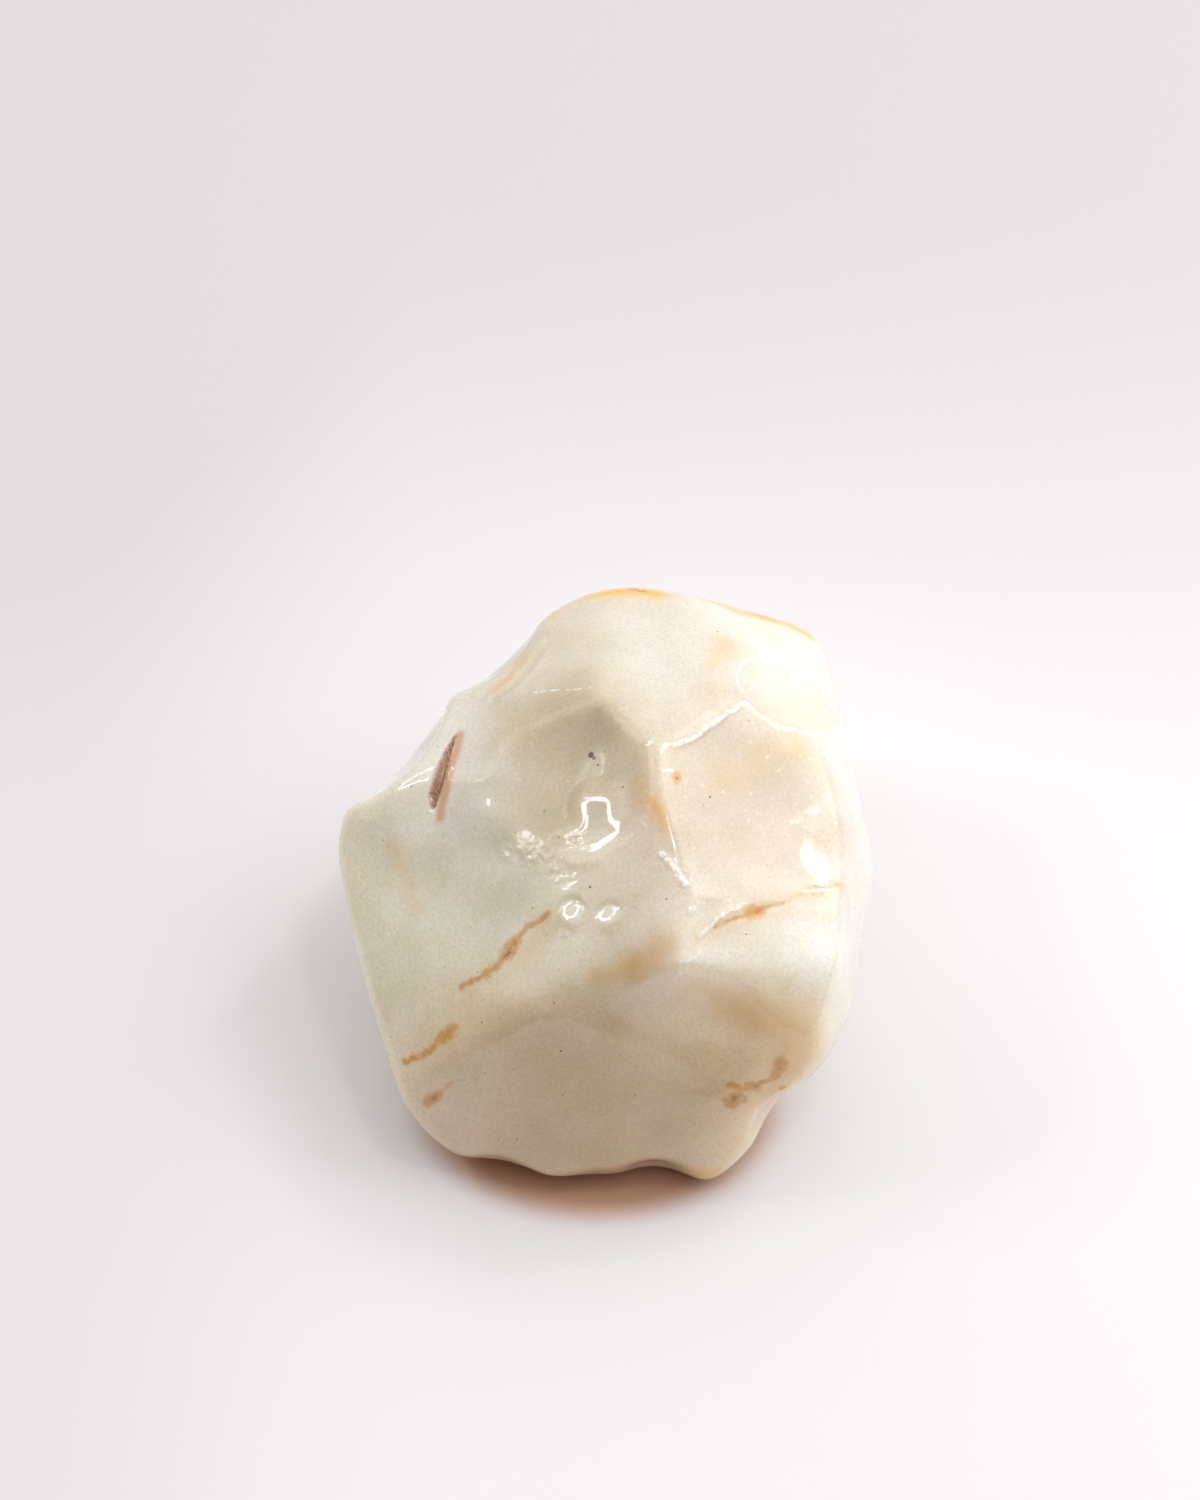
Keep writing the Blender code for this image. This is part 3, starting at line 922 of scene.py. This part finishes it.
def stone_colour(nodes):
    """The colour all over the stone: milk with painted light and shade, soft clouds, stains, veins, specks,
    bruised ridges with painted glints, and the pit.
    """
    # The body colour with painted light and shade in it.
    base = nodes.add("ShaderNodeAttribute", attribute_name="tone_with_painted_shading").outputs["Color"]
    clouds = nodes.span(nodes.noise(4.0, detail=4.0, seed=(31.0, 7.0, 2.0)), 0.35, 0.65)
    base = nodes.mix(clouds, base, CLOUD_TINT, "MULTIPLY")
    grain = nodes.span(nodes.noise(0.22, detail=2.0), 0.3, 0.7, 0.93, 1.04)
    base = nodes.mix(1.0, base, grain, "MULTIPLY")

    stain_edge = nodes.math("MULTIPLY_ADD", nodes.noise(2.2, detail=4.0, rough=0.6), 0.9, -0.45)
    stain = nodes.field("stain")
    ragged = nodes.math("MULTIPLY_ADD", stain_edge, stain, stain, clamp=True)
    stain_colour = nodes.mix(nodes.field("stain_golden"), STAIN_BROWN, STAIN_GOLD)
    base = nodes.mix(ragged, base, stain_colour)

    vein = nodes.field("vein")
    wobble = nodes.math("MULTIPLY_ADD", nodes.noise(0.5, detail=4.0, rough=0.7), 1.2, -0.6)
    frayed = nodes.math("ADD", vein, wobble)
    orange = nodes.field("vein_orange")
    halo = nodes.math("MULTIPLY", nodes.span(vein, 0.0, 0.9), 0.40)
    base = nodes.mix(halo, base, VEIN_HALO)
    band = nodes.math("MULTIPLY", nodes.span(frayed, 0.30, 0.75), nodes.span(vein, 0.10, 0.50))
    band_colour = nodes.mix(orange, VEIN_TAN, VEIN_OCHRE)
    base = nodes.mix(nodes.math("MULTIPLY", band, 0.85), base, band_colour)
    core = nodes.math("MULTIPLY", nodes.span(frayed, 0.80, 1.05), nodes.span(vein, 0.45, 0.75))
    core_colour = nodes.mix(orange, VEIN_BROWN, VEIN_ORANGE)
    base = nodes.mix(nodes.math("MULTIPLY", core, 0.9), base, core_colour)

    distance, random = nodes.cells(1.1, (5.0, 3.0, 9.0))
    rare = nodes.span(random, 0.68, 0.76)
    dots = nodes.math("MULTIPLY", nodes.span(distance, 0.10, 0.05), rare)
    base = nodes.mix(nodes.math("MULTIPLY", dots, 0.5), base, SPECK_DARK)
    distance, random = nodes.cells(0.42, (2.0, 8.0, 4.0))
    sand = nodes.math("MULTIPLY", nodes.span(distance, 0.26, 0.12), nodes.span(random, 0.60, 0.70))
    base = nodes.mix(nodes.math("MULTIPLY", sand, 0.16), base, SPECK_DARK)
    distance, random = nodes.cells(0.75, (6.0, 1.0, 7.0))
    flecks = nodes.math("MULTIPLY", nodes.span(distance, 0.26, 0.10), nodes.span(random, 0.56, 0.66))
    flecks = nodes.math("MULTIPLY", flecks, nodes.field("fleck"))
    base = nodes.mix(nodes.math("MULTIPLY", flecks, 0.6), base, FLECK_PALE)
    speck = nodes.span(nodes.field("speck"), 0.66, 0.80)
    base = nodes.mix(nodes.math("MULTIPLY", speck, 0.9), base, SPECK_DARK)

    # Ridges bruised white, partly real bruising and partly painted glints.
    bruise_and_glint = nodes.math("MULTIPLY", nodes.field("bruise_and_painted_glint"), nodes.span(nodes.noise(0.3, detail=4.0), 0.38, 0.56))
    base = nodes.mix(nodes.span(bruise_and_glint, 0.15, 0.75), base, BRUISE_AND_GLINT_WHITE)

    ragged_bank = nodes.math("ADD", nodes.field("bank"), nodes.math("MULTIPLY", wobble, 0.3))
    base = nodes.mix(nodes.math("MULTIPLY", nodes.span(ragged_bank, 0.1, 1.0), 0.75), base, PIT_PINK)
    grains = nodes.noise(0.16, detail=3.0, rough=0.7)
    grainy = nodes.mix(nodes.span(grains, 0.35, 0.62), PIT_DARK, PIT_PINK)
    ragged_pit = nodes.math("ADD", nodes.field("pit"), nodes.math("MULTIPLY", wobble, 0.45))
    return nodes.mix(nodes.math("MULTIPLY", nodes.span(ragged_pit, 0.36, 0.74), 0.92), base, grainy)


def stone_bump(nodes):
    """The normal under the gloss: fine ripples, and pits where the surface is rough."""
    fine = nodes.noise(0.9, detail=3.0, rough=0.5)
    gritty = nodes.noise(0.28, detail=3.0, rough=0.6)
    grit = nodes.math("MULTIPLY", gritty, nodes.math("MULTIPLY", nodes.field("rough"), 0.4))
    height = nodes.math("ADD", nodes.math("MULTIPLY", fine, 0.1), grit)
    bump = nodes.add("ShaderNodeBump")
    bump.inputs["Strength"].default_value = 1.0
    bump.inputs["Distance"].default_value = 0.05 * MM
    nodes.join(height, bump.inputs["Height"])
    return bump.outputs["Normal"]


def stone_material():
    """Milky opal that scatters light below its surface, under a wet gloss."""
    material = bpy.data.materials.new("opal_stone")
    nodes = Nodes(material)
    shader = nodes.shader
    nodes.join(stone_colour(nodes), shader.inputs["Base Color"])
    normal = stone_bump(nodes)
    nodes.join(normal, shader.inputs["Normal"])
    nodes.join(normal, shader.inputs["Coat Normal"])
    shader.inputs["Roughness"].default_value = 0.3
    shader.inputs["IOR"].default_value = 1.45
    shader.inputs["Subsurface Weight"].default_value = 1.0
    shader.inputs["Subsurface Radius"].default_value = SCATTER_RADIUS
    shader.inputs["Subsurface Scale"].default_value = SCATTER_SCALE
    nodes.join(nodes.span(nodes.field("dull"), 0.0, 1.0, 1.0, 0.1), shader.inputs["Coat Weight"])
    shader.inputs["Coat Roughness"].default_value = 0.04
    return material


# The floor's colours, and how far back and to the left, in millimetres, painted shade dims it.
FLOOR_PALE = colour(237, 234, 235)
FLOOR_PAINTED_SHADE = colour(214, 212, 213)
FLOOR_PAINTED_SHADE_BACK = (0.0, 75.0)
FLOOR_PAINTED_SHADE_LEFT_SHARE = 0.55
FLOOR_PAINTED_SHADE_LEFT = (12.0, 42.0)

# A painted warm shadow on the floor under the stone's front lip: its middle, its half widths, both in
# millimetres, and the multiples of them between which it fades.
PAINTED_SHADOW_WARM = colour(200, 158, 132)
PAINTED_SHADOW_MIDDLE = (-0.6, -12.4)
PAINTED_SHADOW_HALF_WIDTHS = (11.8, 9.0)
PAINTED_SHADOW_FADE = (1.2, 0.88)


def floor_material():
    """Plain pale paper with painted shade that darkens it towards the back and the left, and a painted warm
    shadow by the stone.
    """
    material = bpy.data.materials.new("pale_floor")
    nodes = Nodes(material)
    shader = nodes.shader
    split = nodes.add("ShaderNodeSeparateXYZ")
    nodes.join(nodes.place(), split.inputs[0])
    x = nodes.math("DIVIDE", split.outputs[0], MM)
    y = nodes.math("DIVIDE", split.outputs[1], MM)
    # Painted shade: darker towards the back and the left.
    back = nodes.span(y, *FLOOR_PAINTED_SHADE_BACK)
    left = nodes.span(nodes.math("MULTIPLY", x, -1.0), *FLOOR_PAINTED_SHADE_LEFT, 0.0, FLOOR_PAINTED_SHADE_LEFT_SHARE)
    base = nodes.mix(nodes.math("ADD", back, left, clamp=True), FLOOR_PALE, FLOOR_PAINTED_SHADE)
    # Painted warm shadow under the stone's front lip.
    across = nodes.math("DIVIDE", nodes.math("SUBTRACT", x, PAINTED_SHADOW_MIDDLE[0]), PAINTED_SHADOW_HALF_WIDTHS[0])
    along = nodes.math("DIVIDE", nodes.math("SUBTRACT", y, PAINTED_SHADOW_MIDDLE[1]), PAINTED_SHADOW_HALF_WIDTHS[1])
    square = nodes.math("ADD", nodes.math("MULTIPLY", across, across), nodes.math("MULTIPLY", along, along))
    near = nodes.span(nodes.math("SQRT", square), *PAINTED_SHADOW_FADE)
    base = nodes.mix(near, base, PAINTED_SHADOW_WARM)
    nodes.join(base, shader.inputs["Base Color"])
    shader.inputs["Roughness"].default_value = 0.9
    shader.inputs["Specular IOR Level"].default_value = 0.1
    return material


FLOOR_SIDE = 3.0


def build_floor():
    bm = bmesh.new()
    bmesh.ops.create_grid(bm, x_segments=1, y_segments=1, size=FLOOR_SIDE / 2)
    mesh = bpy.data.meshes.new("floor")
    bm.to_mesh(mesh)
    bm.free()
    mesh.materials.append(floor_material())
    floor = bpy.data.objects.new("floor", mesh)
    bpy.context.scene.collection.objects.link(floor)


def aim(obj, place, target):
    """Puts an object at a place and points its -Z at a target."""
    obj.location = place
    obj.rotation_euler = (Vector(target) - Vector(place)).to_track_quat("-Z", "Y").to_euler()


# Each lamp is a square: the compass turn and the rise at which the stone sees it, in degrees, its
# distance and its side, in metres, and its watts. The softbox lights the right side, the fill lights the
# right end of the front, and the two small lamps glint on sharp ridges.
LAMPS = {
    "softbox": (25.0, 40.0, 0.45, 0.38, 0.66),
    "fill": (-25.0, 36.0, 0.35, 0.30, 0.22),
    "glint_over": (-15.0, 76.0, 0.60, 0.05, 0.18),
    "glint_behind": (44.0, 46.0, 0.60, 0.06, 0.20),
}

# The sky is brightest above the softbox, and dim and warm behind the camera.
SKY_TURN = 85.0
SKY_RISE = 58.0
SKY_DIM = (0.10, 0.065, 0.05, 1.0)
SKY_BRIGHT = (1.12, 1.12, 1.14, 1.0)
SKY_DIM_ANGLE = 84.0
SKY_BRIGHT_ANGLE = 25.0


def soft_sky():
    """A plain sky that dims smoothly from its bright side to its dim side."""
    world = bpy.data.worlds.new("soft_sky")
    world.use_nodes = True
    tree = world.node_tree
    way = tree.nodes.new("ShaderNodeTexCoord")
    facing = tree.nodes.new("ShaderNodeVectorMath")
    facing.operation = "DOT_PRODUCT"
    facing.inputs[1].default_value = unit(SKY_TURN, SKY_RISE)
    tree.links.new(way.outputs["Generated"], facing.inputs[0])
    fade = tree.nodes.new("ShaderNodeMapRange")
    fade.interpolation_type = "SMOOTHSTEP"
    fade.inputs["From Min"].default_value = math.cos(math.radians(SKY_DIM_ANGLE))
    fade.inputs["From Max"].default_value = math.cos(math.radians(SKY_BRIGHT_ANGLE))
    tree.links.new(facing.outputs["Value"], fade.inputs["Value"])
    shade = tree.nodes.new("ShaderNodeMix")
    shade.data_type = "RGBA"
    shade.inputs[6].default_value = SKY_DIM
    shade.inputs[7].default_value = SKY_BRIGHT
    tree.links.new(fade.outputs["Result"], shade.inputs[0])
    tree.links.new(shade.outputs[2], tree.nodes["Background"].inputs["Color"])
    return world


def build_lights():
    """The square lamps and a soft sky."""
    target = HEART * MM
    for name, (turn, rise, distance, side, watts) in LAMPS.items():
        light = bpy.data.lights.new(name, "AREA")
        light.shape = "SQUARE"
        light.size = side
        light.energy = watts
        lamp = bpy.data.objects.new(name, light)
        bpy.context.scene.collection.objects.link(lamp)
        aim(lamp, target + unit(turn, rise) * distance, target)
    bpy.context.scene.world = soft_sky()


# The ring lamp over the left side, by the compass turn and the rise at which the stone sees it, and its
# angles from its middle to its glowing band.
RING_TURN = 162.0
RING_RISE = 41.0
RING_DISTANCE = 0.6
RING_ANGLE = 7.0
RING_HALF_WIDTH = 0.9
RING_STRENGTH = 18.0
RING_SIDES = 96


def build_ring():
    """A flat glowing ring that faces the stone, whose reflections are the stone's small rings."""
    material = bpy.data.materials.new("ring_glow")
    nodes = Nodes(material)
    nodes.shader.inputs["Base Color"].default_value = (0.0, 0.0, 0.0, 1.0)
    nodes.shader.inputs["Emission Color"].default_value = (1.0, 1.0, 1.0, 1.0)
    nodes.shader.inputs["Emission Strength"].default_value = RING_STRENGTH
    way = unit(RING_TURN, RING_RISE)
    right = np.cross((0.0, 0.0, 1.0), way)
    right /= np.linalg.norm(right)
    up = np.cross(way, right)
    centre = HEART * MM + way * RING_DISTANCE
    bm = bmesh.new()
    loops = []
    for angle in (RING_ANGLE - RING_HALF_WIDTH, RING_ANGLE + RING_HALF_WIDTH):
        radius = RING_DISTANCE * math.tan(math.radians(angle))
        turns = [2 * math.pi * i / RING_SIDES for i in range(RING_SIDES)]
        spots = [centre + (right * math.cos(t) + up * math.sin(t)) * radius for t in turns]
        loops.append([bm.verts.new(spot) for spot in spots])
    inner, outer = loops
    for i in range(RING_SIDES):
        after = (i + 1) % RING_SIDES
        bm.faces.new((inner[i], inner[after], outer[after], outer[i]))
    mesh = bpy.data.meshes.new("ring_light")
    bm.to_mesh(mesh)
    bm.free()
    mesh.materials.append(material)
    ring = bpy.data.objects.new("ring_light", mesh)
    bpy.context.scene.collection.objects.link(ring)


def build_camera():
    camera = bpy.data.cameras.new("photo_camera")
    camera.sensor_width = SENSOR_MM
    camera.lens = SENSOR_MM * FOCAL_PIXELS / PHOTO_HEIGHT
    camera.clip_start = 0.01
    holder = bpy.data.objects.new("photo_camera", camera)
    holder.location = CAMERA_PLACE * MM
    holder.rotation_euler = (math.radians(90.0 - CAMERA_RISE), 0.0, 0.0)
    bpy.context.scene.collection.objects.link(holder)
    bpy.context.scene.camera = holder


build_camera()
stone = build_stone()
stone.data.materials.append(stone_material())
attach(stone, "root")
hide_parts("opal")
build_floor()
build_ring()
build_lights()
bpy.context.scene.view_settings.view_transform = "Standard"
